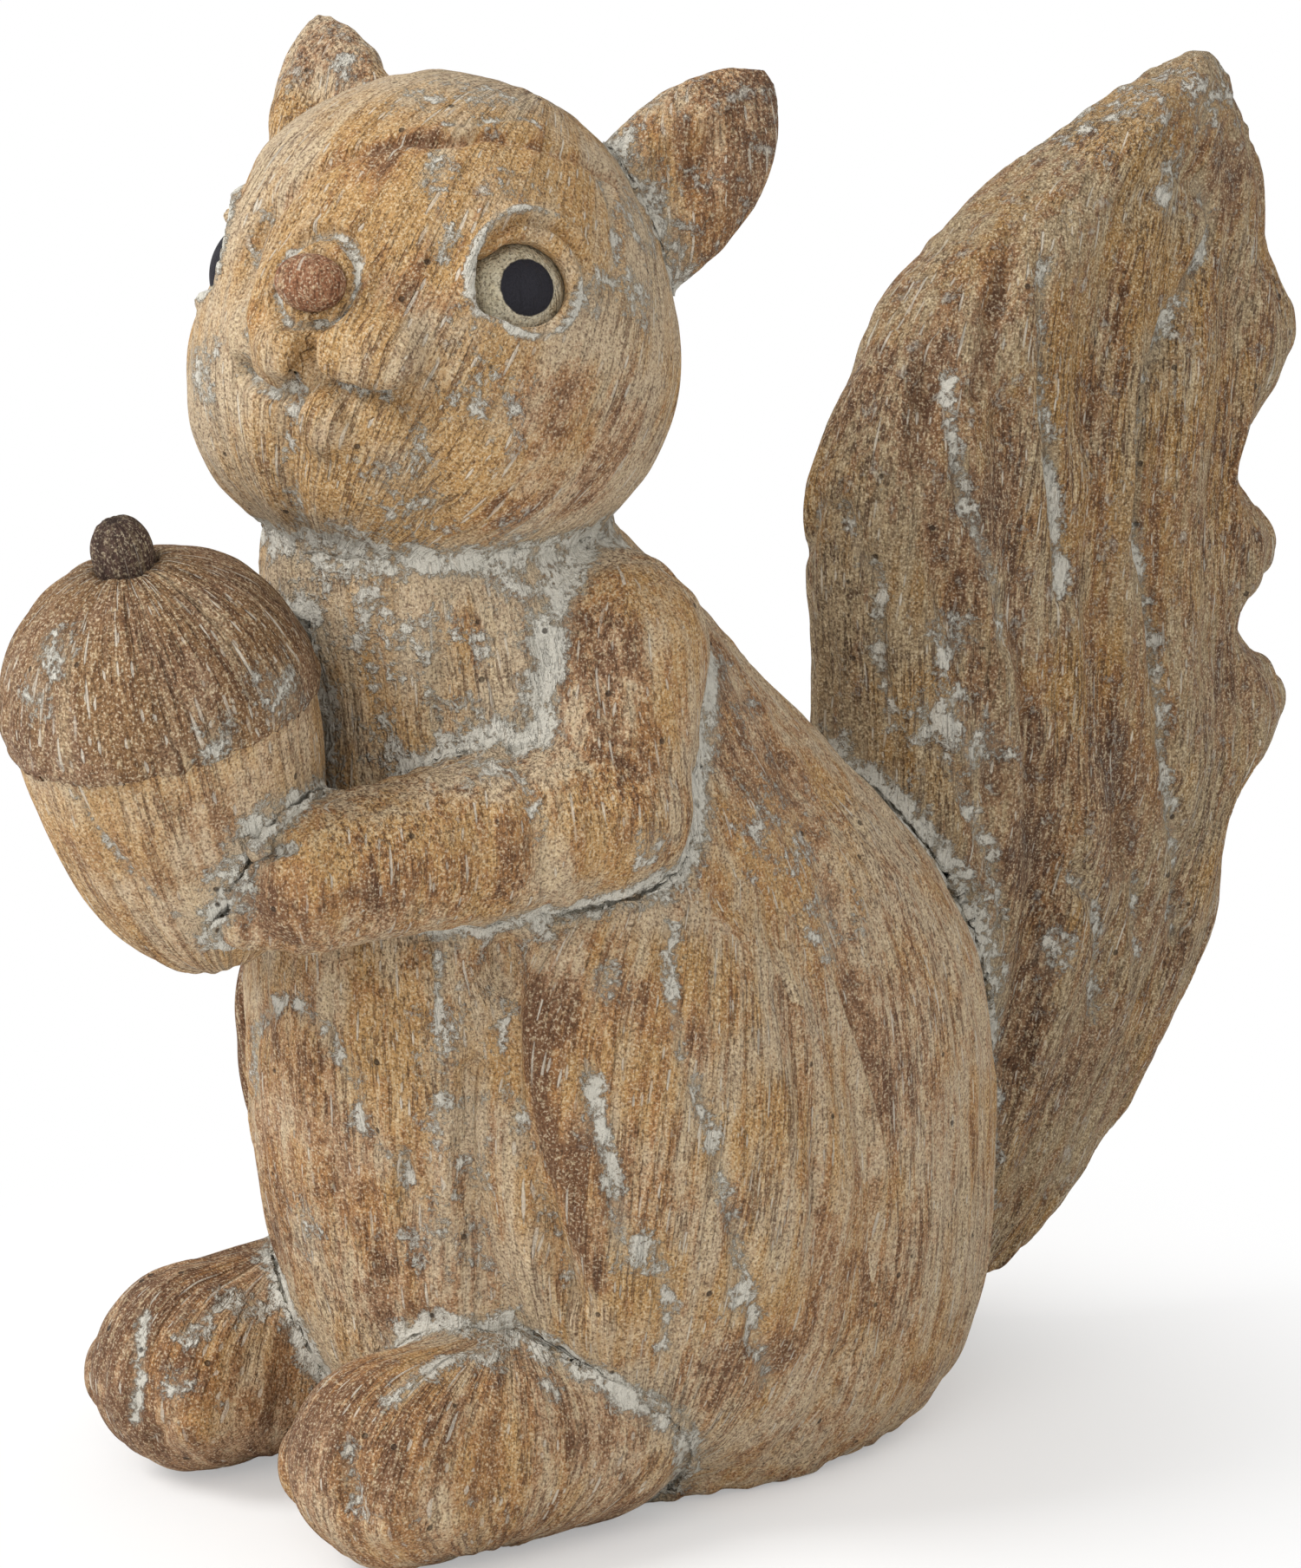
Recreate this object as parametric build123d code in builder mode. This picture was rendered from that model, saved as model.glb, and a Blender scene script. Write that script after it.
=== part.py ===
from build123d import *
import os
from math import asin, cos, degrees, hypot, radians, sin

# Squirrel figurine holding an acorn. Millimetres, +Z up, table at Z = 0.
# The squirrel faces -Y, its own left side is +X, and its head is turned to its left.

# Trunk, from the flat seat to the top of the shoulders
body_height = 142.0
body_width = 88.0
body_depth = 112.0
# height, centre behind the front-back origin, half width, half depth
body_section_shares = [
    (0.00, 0.29, 0.72, 0.72),
    (0.05, 0.295, 0.84, 0.84),
    (0.15, 0.285, 0.95, 0.96),
    (0.32, 0.26, 1.00, 1.015),
    (0.48, 0.235, 0.98, 1.00),
    (0.64, 0.17, 0.88, 0.83),
    (0.78, 0.092, 0.74, 0.634),
    (0.91, -0.002, 0.60, 0.496),
    (1.00, -0.035, 0.46, 0.391),
]

# Head, measured from its centre
head_width = 67.0
head_top = 35.7
head_bottom = 31.0
head_rise = 20.0
head_forward = 4.0
head_turn = 25.0
dome_radius = 31.0
dome_edge_angle = 40.0
# radius over half the width, height over the drop from the centre to the bottom or the rise to the top
cheek_line_shares = [
    (0.955, 0.18),
    (1.00, -0.09),
    (0.97, -0.33),
    (0.86, -0.60),
    (0.66, -0.84),
]
neck_radius = 12.0
neck_length = 12.0

# Cheeks: two soft pouches at the sides of the jaw
pouch_radius = 18.5
pouch_spread = 11.5
pouch_forward = 10.0
pouch_drop = 8.0

# Muzzle: a broad bridge, two whisker pads and a chin
muzzle_width = 34.0
muzzle_length = 30.0
muzzle_height = 30.0
muzzle_forward = 19.5
muzzle_rise = 5.5
pad_radius = 8.6
pad_spread = 7.4
pad_forward = 25.3
pad_rise = 4.0
chin_radius = 8.0
chin_forward = 25.0
chin_drop = 6.0

# Nose button
nose_width = 10.0
nose_depth = 7.0
nose_height = 7.6
nose_forward = 33.0
nose_rise = 12.6
nose_peg_radius = 1.6
nose_peg_length = 7.0

# Eyes
eye_radius = 8.0
eye_turn = 54.0
eye_pitch = 22.0
eye_distance = 23.8
lid_thickness = 2.2
lid_opening_width = 13.6
lid_opening_height = 11.0
lid_tilt = 12.0

# Ears
ear_left_length = 34.5
ear_left_spread = 18.5
ear_left_turn = 20.0
ear_right_length = 38.5
ear_right_spread = 21.5
ear_right_turn = -8.0
ear_width = 22.0
ear_thickness = 11.0
ear_back = 15.5
ear_rise = 9.0
ear_lean_out = 31.0
ear_lean_back = 38.0
ear_hollow_width = 12.0
ear_hollow_length = 22.0
ear_hollow_depth = 4.0
ear_hollow_offset = 1.5
ear_hollow_rise_share = 0.50
ear_plug_radius = 3.6
ear_plug_length = 8.0
# radius over half the width, height over the whole length
ear_profile_shares = [
    (0.70, 0.00),
    (0.90, 0.16),
    (1.00, 0.40),
    (0.86, 0.66),
    (0.52, 0.86),
    (0.22, 0.96),
    (0.08, 0.99),
]

# Arms
shoulder_spread = 22.0
shoulder_back = 8.0
shoulder_height = 121.0
shoulder_radius = 14.5
elbow_spread = 30.0
elbow_back = 2.0
elbow_height = 102.0
elbow_radius = 12.0
elbow_step = 0.8
wrist_spread = 19.5
wrist_forward = 38.0
wrist_height = 97.0
wrist_radius = 10.2
finger_radius = 4.2
tip_share = 0.9
finger_count = 3
finger_pitch = 6.2
finger_reach = 9.0

# Acorn
acorn_forward = 49.0
acorn_height = 118.8
acorn_lean = 15.0
nut_radius = 20.2
nut_drop = 39.2
# radius over the nut's, height over its drop below the widest ring, or over its rise above
nut_profile_shares = [(0.0, -1.0), (0.40, -0.93), (0.74, -0.71), (0.95, -0.36), (1.0, 0.0)]
nut_crown_shares = [(0.85, 0.53), (0.50, 0.87), (0.0, 1.0)]
cup_radius = 21.4
cup_rise = 20.5
cup_rim_drop = 3.0
cup_lip_angle = 15.0
stem_radius = 4.2
stem_length = 7.0
stem_seat_depth = 2.5
# radius over the stem's, height over its length
stem_profile_shares = [(1.0, 0.0), (0.95, 0.35), (0.66, 0.66), (0.0, 0.80)]
stem_pin_radius = 1.6
stem_pin_length = 3.0
cup_cover = 1.5

# Haunches
haunch_spread = 26.0
haunch_back = 15.5
haunch_centre_height = 50.0
haunch_thickness = 46.0
haunch_depth = 63.0
haunch_height = 98.0
haunch_lean = -13.0
haunch_bed_spread = 17.0

# Feet
foot_spread = 24.0
foot_heel_back = 2.0
foot_toe_forward = 29.5
foot_radius = 15.8
foot_taper_share = 0.94
foot_centre_height = 15.1
toe_radius = 8.2
toe_count = 3
toe_pitch = 8.0
toe_reach = 5.2
toe_centre_height = 13.5

# Tail: shares of its height, its reach behind the body and its thickness
tail_height = 189.0
tail_reach = 155.0
tail_thickness = 34.0
# height, front edge, back edge, depth of the scallop in the back edge, thickness
tail_section_shares = [
    (0.050, 0.42, 0.645, 0.000, 0.36),
    (0.075, 0.41, 0.693, 0.000, 0.47),
    (0.110, 0.40, 0.745, 0.000, 0.60),
    (0.200, 0.40, 0.838, 0.000, 0.78),
    (0.300, 0.405, 0.920, 0.014, 0.92),
    (0.366, 0.410, 0.965, 0.044, 0.96),
    (0.406, 0.415, 0.985, 0.041, 0.98),
    (0.443, 0.420, 1.000, 0.013, 1.00),
    (0.470, 0.420, 1.005, 0.002, 1.00),
    (0.502, 0.420, 1.005, 0.029, 1.00),
    (0.525, 0.420, 1.005, 0.065, 1.00),
    (0.550, 0.420, 1.005, 0.078, 1.00),
    (0.574, 0.418, 1.005, 0.040, 0.99),
    (0.600, 0.416, 1.005, 0.024, 0.98),
    (0.624, 0.415, 1.005, 0.042, 0.97),
    (0.650, 0.415, 1.005, 0.076, 0.96),
    (0.689, 0.418, 1.005, 0.070, 0.95),
    (0.727, 0.430, 1.005, 0.032, 0.92),
    (0.760, 0.446, 1.003, 0.005, 0.89),
    (0.793, 0.467, 0.998, 0.010, 0.85),
    (0.825, 0.494, 0.985, 0.022, 0.80),
    (0.867, 0.548, 0.967, 0.012, 0.73),
    (0.915, 0.640, 0.945, 0.003, 0.61),
    (0.958, 0.745, 0.912, 0.000, 0.45),
    (0.985, 0.820, 0.893, 0.000, 0.26),
    (0.998, 0.855, 0.877, 0.000, 0.11),
]
# distance from the front edge over the section's depth, half width over half its thickness,
# how much of the scallop's depth the point moves in by
tail_outline_shares = [
    (0.00, 0.00, 0.00),
    (0.03, 0.50, 0.00),
    (0.14, 0.88, 0.00),
    (0.26, 1.00, 0.00),
    (0.36, 0.86, 0.00),
    (0.46, 0.94, 0.00),
    (0.56, 0.74, 0.00),
    (0.66, 0.74, 0.00),
    (0.76, 0.52, 0.25),
    (0.86, 0.46, 0.50),
    (0.95, 0.22, 0.85),
    (1.00, 0.00, 1.00),
]
tail_tenon_width = 14.0
tail_tenon_height = 40.0
tail_tenon_depth = 14.0
tail_tenon_low = 34.0
tail_tenon_radius = 5.0

# One overrun for every cut that runs past a face
overrun = 20.0

head_centre_height = body_height + head_rise
head_plane = Plane(
    origin=(0, -head_forward, head_centre_height),
    x_dir=(cos(radians(head_turn)), sin(radians(head_turn)), 0),
    z_dir=(0, 0, 1),
)


def head_point(spread, forward, rise):
    """A point given from the head's centre, along the head's own directions."""
    return head_plane.from_local_coords(Vector(spread, -forward, rise))


def head_spot(spread, forward, rise):
    """The head's own plane, moved to such a point."""
    return Plane(origin=head_point(spread, forward, rise), x_dir=head_plane.x_dir, z_dir=head_plane.z_dir)


def ellipsoid(spot, width, depth, height):
    """A ball drawn out to three widths, set on a plane's own directions, its poles at the sides."""
    with BuildPart() as solid:
        Sphere(height / 2, rotation=(0, 90, 0))
        scale(by=(width / height, depth / height, 1))
    return spot.location * solid.part


def limb(start, end, start_radius, end_radius):
    """A round limb with a ball at each end and the cone that touches both."""
    along = Plane(origin=start, z_dir=end - start)
    run = (end - start).length
    slope = asin((start_radius - end_radius) / run)
    slope_degrees = degrees(slope)
    with BuildPart() as solid:
        with BuildSketch(Plane(origin=start, x_dir=along.x_dir, z_dir=along.x_dir.cross(along.z_dir))):
            with BuildLine():
                ball = CenterArc((0, 0), start_radius, -90, 90 + slope_degrees)
                tip = CenterArc((0, run), end_radius, slope_degrees, 90 - slope_degrees)
                Line(ball @ 1, tip @ 0)
                Line(tip @ 1, ball @ 0)
            make_face()
        revolve(axis=Axis(start, along.z_dir))
    return solid.part


def peg(start, direction, radius, length):
    """A plain round peg that starts at a point."""
    with BuildPart() as solid:
        with BuildSketch(Plane(origin=start, z_dir=direction)):
            Circle(radius)
        extrude(amount=length)
    return solid.part


# Acorn: the nut, the cup that caps it and the stalk, all on one leaning axis
acorn_plane = Plane(
    origin=(0, -acorn_forward, acorn_height),
    x_dir=(1, 0, 0),
    z_dir=(0, -sin(radians(acorn_lean)), cos(radians(acorn_lean))),
)
acorn_axis = Axis(acorn_plane.origin, acorn_plane.z_dir)
acorn_profile_plane = Plane(
    origin=acorn_plane.origin,
    x_dir=acorn_plane.x_dir,
    z_dir=acorn_plane.x_dir.cross(acorn_plane.z_dir),
)

stem_seat = cup_rise - stem_seat_depth
nut_rise = stem_seat - stem_pin_length - cup_cover

with BuildPart() as acorn_nut:
    with BuildSketch(acorn_profile_plane):
        with BuildLine():
            side = Spline(
                *[(nut_radius * radius, nut_drop * rise) for radius, rise in nut_profile_shares],
                *[(nut_radius * radius, nut_rise * rise) for radius, rise in nut_crown_shares],
                tangents=((1, 0), (-1, 0)),
            )
            Line(side @ 1, side @ 0)
        make_face()
    revolve(axis=acorn_axis)
acorn_nut.part.label = "acorn_nut"

with BuildPart() as acorn_stem:
    with BuildSketch(acorn_profile_plane):
        with BuildLine():
            knob = Spline(
                *[(stem_radius * radius, cup_rise + stem_length * rise) for radius, rise in stem_profile_shares],
                tangents=((0, 1), (-1, 0)),
            )
            Polyline(
                knob @ 0,
                (stem_radius, stem_seat),
                (stem_pin_radius, stem_seat),
                (stem_pin_radius, stem_seat - stem_pin_length),
                (0, stem_seat - stem_pin_length),
                knob @ 1,
            )
        make_face()
    revolve(axis=acorn_axis)
acorn_stem.part.label = "acorn_stem"

with BuildPart() as acorn_cup:
    with BuildSketch(acorn_profile_plane):
        with BuildLine():
            rim = Line((0, -cup_rim_drop), (nut_radius, -cup_rim_drop))
            lip = ThreePointArc(
                rim @ 1,
                (cup_radius, 0),
                (cup_radius * cos(radians(cup_lip_angle)), cup_rise * sin(radians(cup_lip_angle))),
            )
            crown = EllipticalCenterArc(
                (0, 0), cup_radius, cup_rise, start_angle=cup_lip_angle, arc_size=90 - cup_lip_angle
            )
            Line(crown @ 1, rim @ 0)
        make_face()
    revolve(axis=acorn_axis)
    add(acorn_nut.part, mode=Mode.SUBTRACT)
    add(acorn_stem.part, mode=Mode.SUBTRACT)
acorn_cup.part.label = "acorn_cup"

# Nose button with its peg
with BuildPart() as nose:
    add(ellipsoid(head_spot(0, nose_forward, nose_rise), nose_width, nose_depth, nose_height))
    add(peg(head_point(0, nose_forward, nose_rise), head_plane.y_dir, nose_peg_radius, nose_peg_length))
nose.part.label = "nose"


def eye_direction(side):
    """Where an eye looks, in the head's own directions: across, forward, up."""
    flat = cos(radians(eye_pitch))
    return side * sin(radians(eye_turn)) * flat, cos(radians(eye_turn)) * flat, sin(radians(eye_pitch))


def eye_plane(side):
    """The eyeball's centre, with Z out of the head and X along the lids."""
    across, forward, up = eye_direction(side)
    outward = head_point(across, forward, up) - head_plane.origin
    level = Vector(0, 0, 1).cross(outward)
    return Plane(
        origin=head_point(across * eye_distance, forward * eye_distance, up * eye_distance),
        x_dir=level,
        z_dir=outward,
    ).rotated((0, 0, side * -lid_tilt))


eyes = {}
for name, side in (("eye_left", 1), ("eye_right", -1)):
    with BuildPart() as eye:
        add(eye_plane(side).location * Sphere(eye_radius, mode=Mode.PRIVATE))
    eye.part.label = name
    eyes[name] = eye.part


def ear_plane(side, spread, turn):
    """The ear's root, with Z up the ear and Y out of its back."""
    lean_out = radians(ear_lean_out)
    lean_back = radians(ear_lean_back)
    rise = head_point(side * sin(lean_out), -sin(lean_back), cos(lean_out)) - head_plane.origin
    facing = head_point(side * sin(radians(turn)), cos(radians(turn)), 0) - head_plane.origin
    return Plane(
        origin=head_point(side * spread, -ear_back, ear_rise),
        x_dir=rise.cross(facing),
        z_dir=rise,
    )


ears = {}
for name, side, ear_length, spread, turn in (
    ("ear_left", 1, ear_left_length, ear_left_spread, ear_left_turn),
    ("ear_right", -1, ear_right_length, ear_right_spread, ear_right_turn),
):
    with BuildPart() as blade:
        for radius, rise in ear_profile_shares:
            with BuildSketch(Plane.XY.offset(ear_length * rise)):
                Ellipse(ear_width / 2 * radius, ear_thickness / 2 * radius)
        loft()
        with BuildSketch(Plane.XY):
            Circle(ear_plug_radius)
        extrude(amount=-ear_plug_length)
        hollow = Plane(origin=(0, -ear_thickness / 2 - ear_hollow_offset, ear_length * ear_hollow_rise_share))
        add(ellipsoid(hollow, ear_hollow_width, ear_hollow_depth * 2, ear_hollow_length), mode=Mode.SUBTRACT)
    with BuildPart() as ear:
        add(ear_plane(side, spread, turn).location * blade.part)
    ear.part.label = name
    ears[name] = ear.part

# Head: skull, muzzle, whisker pads, chin, eyelids and the spigot that seats it in the shoulders
with BuildPart() as skull:
    with BuildSketch(Plane.XZ):
        with BuildLine():
            dome = CenterArc((0, head_top - dome_radius), dome_radius, dome_edge_angle, 90 - dome_edge_angle)
            cheek = Spline(
                dome @ 0,
                *[
                    (head_width / 2 * radius, (head_top if rise > 0 else head_bottom) * rise)
                    for radius, rise in cheek_line_shares
                ],
                (neck_radius, -head_bottom),
                tangents=((dome % 0) * -1, (-1, 0)),
            )
            Polyline(
                cheek @ 1,
                (neck_radius, -head_bottom - neck_length),
                (0, -head_bottom - neck_length),
                dome @ 1,
            )
        make_face()
    revolve(axis=Axis.Z)

with BuildPart() as head:
    add(head_plane.location * skull.part)
    add(ellipsoid(head_spot(0, muzzle_forward, muzzle_rise), muzzle_width, muzzle_length, muzzle_height))
    for side in (1, -1):
        pouch = head_point(side * pouch_spread, pouch_forward, -pouch_drop)
        add(Plane(pouch).location * Sphere(pouch_radius, mode=Mode.PRIVATE))
        pad = head_point(side * pad_spread, pad_forward, pad_rise)
        add(Plane(pad).location * Sphere(pad_radius, mode=Mode.PRIVATE))
        add(eye_plane(side).location * Sphere(eye_radius + lid_thickness, mode=Mode.PRIVATE))
    chin = head_point(0, chin_forward, -chin_drop)
    add(Plane(chin).location * Sphere(chin_radius, mode=Mode.PRIVATE))
    for side in (1, -1):
        with BuildSketch(eye_plane(side)):
            Ellipse(lid_opening_width / 2, lid_opening_height / 2)
        extrude(amount=overrun, mode=Mode.SUBTRACT)
    for piece in (*eyes.values(), *ears.values(), nose.part):
        add(piece, mode=Mode.SUBTRACT)
head.part.label = "head"

# Arms: upper arm, forearm and a paw whose fingers close on the nut
shoulder = Vector(shoulder_spread, shoulder_back, shoulder_height)
elbow = Vector(elbow_spread, elbow_back, elbow_height)
wrist = Vector(wrist_spread, -wrist_forward, wrist_height)
with BuildPart() as arm_blank:
    add(limb(shoulder, elbow, shoulder_radius, elbow_radius - elbow_step))
    add(limb(elbow, wrist, elbow_radius, wrist_radius))
    for number in range(finger_count):
        lift = (number - (finger_count - 1) / 2) * finger_pitch
        knuckle = wrist + Vector(0, 0, lift)
        tip = knuckle + Vector(-finger_reach / 2, -finger_reach, 0)
        add(limb(knuckle, tip, finger_radius, finger_radius * tip_share))

arms = {}
for name, blank in (("arm_left", arm_blank.part), ("arm_right", mirror(arm_blank.part, about=Plane.YZ))):
    with BuildPart() as arm:
        add(blank)
        for piece in (acorn_nut.part, acorn_cup.part, head.part):
            add(piece, mode=Mode.SUBTRACT)
    arm.part.label = name
    arms[name] = arm.part

# Feet: a rounded instep cut flat underneath, with a row of toes
feet = {}
for name, side in (("foot_left", 1), ("foot_right", -1)):
    heel = Vector(side * foot_spread, foot_heel_back, foot_centre_height)
    ball = Vector(side * foot_spread, -foot_toe_forward, foot_centre_height)
    with BuildPart() as foot:
        add(limb(heel, ball, foot_radius, foot_radius * foot_taper_share))
        for number in range(toe_count):
            across = (number - (toe_count - 1) / 2) * toe_pitch
            base = Vector(side * foot_spread + across, -foot_toe_forward, toe_centre_height)
            tip = base + Vector(0, -toe_reach, 0)
            add(limb(base, tip, toe_radius, toe_radius * tip_share))
        split(bisect_by=Plane.XY, keep=Keep.TOP)
    foot.part.label = name
    feet[name] = foot.part

# Haunches: egg-shaped thighs with a flat inner face that beds in a pocket of the trunk
haunches = {}
for name, side in (("haunch_left", 1), ("haunch_right", -1)):
    centre = Plane(origin=(side * haunch_spread, haunch_back, haunch_centre_height)).rotated((-haunch_lean, 0, 0))
    arm_name, foot_name = name.replace("haunch", "arm"), name.replace("haunch", "foot")
    with BuildPart() as haunch:
        add(ellipsoid(centre, haunch_thickness, haunch_depth, haunch_height))
        split(bisect_by=Plane(origin=(side * haunch_bed_spread, 0, 0), z_dir=(side, 0, 0)), keep=Keep.TOP)
        split(bisect_by=Plane.XY, keep=Keep.TOP)
        add(arms[arm_name], mode=Mode.SUBTRACT)
        add(feet[foot_name], mode=Mode.SUBTRACT)
    haunch.part.label = name
    haunches[name] = haunch.part

# Trunk blank: one loft from the seat to the shoulders
with BuildPart() as trunk:
    for height, centre, half_width, half_depth in body_section_shares:
        with BuildSketch(Plane.XY.offset(body_height * height)):
            with Locations((0, body_depth * centre)):
                Ellipse(body_width / 2 * half_width, body_depth / 2 * half_depth)
    loft()

body_back = trunk.part.bounding_box().max.Y

# Tail: a fluted leaf that beds on the back and is held there by a tenon. Every section's
# outline is drawn over the same steps, so the flutes run straight from one to the next.
tail_outline_steps = [0]
for (along, width, _), (next_along, next_width, _) in zip(tail_outline_shares, tail_outline_shares[1:]):
    step = hypot(tail_reach * (next_along - along), tail_thickness / 2 * (next_width - width))
    tail_outline_steps.append(tail_outline_steps[-1] + step)
tail_outline_steps += [2 * tail_outline_steps[-1] - step for step in reversed(tail_outline_steps[:-1])]

with BuildPart() as tail_tenon:
    with BuildSketch(Plane.XZ.offset(-body_back - tail_tenon_depth)):
        with Locations((0, tail_tenon_low + tail_tenon_height / 2)):
            RectangleRounded(tail_tenon_width, tail_tenon_height, tail_tenon_radius)
    extrude(amount=tail_tenon_depth * 2)

with BuildPart() as tail:
    for height, front, back, scallop, thickness in tail_section_shares:
        outline = [
            (
                tail_thickness / 2 * thickness * width,
                tail_reach * (front + (back - front) * along - scallop * follow),
            )
            for along, width, follow in tail_outline_shares
        ]
        mirrored = [(-x, y) for x, y in reversed(outline[1:-1])]
        with BuildSketch(Plane.XY.offset(tail_height * height)):
            with BuildLine():
                add(Edge.make_spline(outline + mirrored, periodic=True, parameters=tail_outline_steps))
            make_face()
    loft()
    add(trunk.part, mode=Mode.SUBTRACT)
    add(tail_tenon.part)
tail.part.label = "tail"

# Trunk with the seats of everything that it carries
with BuildPart() as body:
    add(trunk.part)
    for piece in (
        head.part,
        tail.part,
        acorn_nut.part,
        acorn_cup.part,
        *arms.values(),
        *feet.values(),
        *haunches.values(),
    ):
        add(piece, mode=Mode.SUBTRACT)
body.part.label = "body"

os.makedirs("parts", exist_ok=True)
for piece in (
    body.part,
    head.part,
    nose.part,
    tail.part,
    acorn_nut.part,
    acorn_cup.part,
    acorn_stem.part,
    *eyes.values(),
    *ears.values(),
    *arms.values(),
    *haunches.values(),
    *feet.values(),
):
    export_step(piece, f"parts/{piece.label}.step")
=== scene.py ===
from itertools import product
from math import cos, radians, sin

import bpy
import numpy as np
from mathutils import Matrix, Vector
from mathutils.bvhtree import BVHTree


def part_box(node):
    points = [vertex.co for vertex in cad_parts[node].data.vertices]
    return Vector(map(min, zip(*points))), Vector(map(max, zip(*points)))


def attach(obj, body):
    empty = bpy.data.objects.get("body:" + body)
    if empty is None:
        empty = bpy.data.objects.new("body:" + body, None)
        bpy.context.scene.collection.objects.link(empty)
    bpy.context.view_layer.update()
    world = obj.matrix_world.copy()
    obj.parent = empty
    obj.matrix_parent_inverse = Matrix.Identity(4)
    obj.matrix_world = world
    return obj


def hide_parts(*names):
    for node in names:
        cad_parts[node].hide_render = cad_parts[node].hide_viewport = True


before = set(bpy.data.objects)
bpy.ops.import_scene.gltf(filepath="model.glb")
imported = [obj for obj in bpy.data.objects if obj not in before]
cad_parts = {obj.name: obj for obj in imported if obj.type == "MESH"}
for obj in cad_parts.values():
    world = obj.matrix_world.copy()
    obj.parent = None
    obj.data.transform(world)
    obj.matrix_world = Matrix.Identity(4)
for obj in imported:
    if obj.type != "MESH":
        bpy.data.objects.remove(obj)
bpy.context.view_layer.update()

# ---- Camera ----
# The photograph's view: a long portrait lens a little above the squirrel's shoulders, on its left side, 52 degrees
# round from its front. The pixels named in this script are those of the whole photograph.
photo_width, photo_height = 1500, 1808
lens, sensor = 150.0, 36.0
camera_azimuth, camera_elevation, camera_distance = radians(52.0), radians(14.5), 0.879
camera_target = Vector((0.0265, 0.012, 0.103))
camera_back = Vector((
    sin(camera_azimuth) * cos(camera_elevation),
    -cos(camera_azimuth) * cos(camera_elevation),
    sin(camera_elevation),
))
camera_right = Vector((cos(camera_azimuth), sin(camera_azimuth), 0))
camera_up = camera_back.cross(camera_right)
camera_place = camera_target + camera_back * camera_distance
bpy.ops.object.camera_add(location=camera_place)
camera = bpy.context.object
camera.name = "camera"
camera.rotation_euler = camera_back.to_track_quat("Z", "Y").to_euler()
camera.data.lens, camera.data.sensor_width, camera.data.sensor_height = lens, sensor, sensor
camera.data.sensor_fit = "AUTO"
bpy.context.scene.camera = camera

# ---- Trunk ----
# The squirrel's trunk, to which the other pieces are luted with lime filler: a solid casting of stone mix, its mould
# taken from a wood carving. The wash of ochre and brown was wiped off the high places, and lime stays in the tool
# marks.
MM = 0.001
left_side, right_side = ((1, 1, 1),), ((-1, 1, 1),)
both_sides = left_side + right_side
weld_gap = 0.002
skin_trees = {}


def blank(name, nodes, facet, soften, spare=None):
    """A casting's skin: the CAD nodes welded, laid out in even facets and worn round at their edges."""
    bpy.ops.object.select_all(action="DESELECT")
    for node in nodes:
        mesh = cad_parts[node].data.copy()
        mesh.materials.clear()
        piece = bpy.data.objects.new(name, mesh)
        bpy.context.scene.collection.objects.link(piece)
        piece.select_set(True)
    bpy.context.view_layer.objects.active = piece
    if len(nodes) > 1:
        bpy.ops.object.join()
    bpy.ops.object.mode_set(mode="EDIT")
    bpy.ops.mesh.select_all(action="SELECT")
    bpy.ops.mesh.remove_doubles(threshold=weld_gap * MM)
    bpy.ops.object.mode_set(mode="OBJECT")
    lay_facets(piece, facet)
    wear(piece, soften, spare)
    return piece


def lay_facets(piece, facet):
    """Lays the piece out anew in even facets of that many millimetres."""
    bpy.context.view_layer.objects.active = piece
    skin = piece.modifiers.new("even facets", "REMESH")
    skin.mode, skin.voxel_size, skin.use_smooth_shade = "VOXEL", facet * MM, True
    bpy.ops.object.modifier_apply(modifier=skin.name)


def wear(piece, soften, spare=None):
    """Wears the edges round, in that many passes. spare gives how much each place is worn."""
    bpy.context.view_layer.objects.active = piece
    worn = piece.modifiers.new("worn edges", "SMOOTH")
    worn.factor, worn.iterations = 0.5, soften
    if spare is not None:
        group = piece.vertex_groups.new(name="worn")
        for index, weight in enumerate(spare(places(piece))):
            group.add((index,), float(weight), "REPLACE")
        worn.vertex_group = group.name
    bpy.ops.object.modifier_apply(modifier=worn.name)
    piece.vertex_groups.clear()


def places(piece):
    """Its vertices' places, in millimetres."""
    found = np.empty(len(piece.data.vertices) * 3, np.float32)
    piece.data.vertices.foreach_get("co", found)
    return found.reshape(-1, 3).astype(float) / MM


def facings(piece):
    """The way its surface faces at each vertex."""
    found = np.empty(len(piece.data.vertices) * 3, np.float32)
    piece.data.vertex_normals.foreach_get("vector", found)
    return found.reshape(-1, 3).astype(float)


def put(piece, points):
    """Sets its vertices' places, none of them below the table."""
    points[:, 2] = np.maximum(points[:, 2], 0)
    piece.data.vertices.foreach_set("co", (points * MM).astype(np.float32).ravel())
    piece.data.update()


def push(piece, amount):
    """Moves each vertex out along its normal by that many millimetres."""
    put(piece, places(piece) + facings(piece) * amount[:, None])


def fade(gap, width):
    """1 where there is no gap, dying away over that width."""
    return np.exp(-((gap / width) ** 2))


def rise(values, low, high):
    """0 up to low, 1 from high on, and straight between them. With low above high it falls."""
    return np.clip((values - low) / (high - low), 0, 1)


def lumps(points, size, seed):
    """Smooth noise from -1 to 1, with lumps of about that size in millimetres. A number is drawn for each corner of
    a grid, and the seed moves the grid."""
    seed_step, grid_start = 31.7, 400
    corner_steps, scatter, stir, draws = (73856093, 19349663, 83492791), 2654435761, 40503, 65536
    spot = points / size + seed_step * seed + grid_start
    cell = np.floor(spot).astype(np.int64)
    share = spot - cell
    share = share * share * (3 - 2 * share)
    total = np.zeros(len(points))
    for corner in product((0, 1), repeat=3):
        mixed = np.bitwise_xor.reduce((cell + corner) * corner_steps, axis=1)
        drawn = (mixed * scatter + (mixed >> 13) * stir) % draws
        total += np.prod(np.where(corner, share, 1 - share), axis=1) * drawn / (draws - 1)
    return total * 2 - 1


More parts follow.
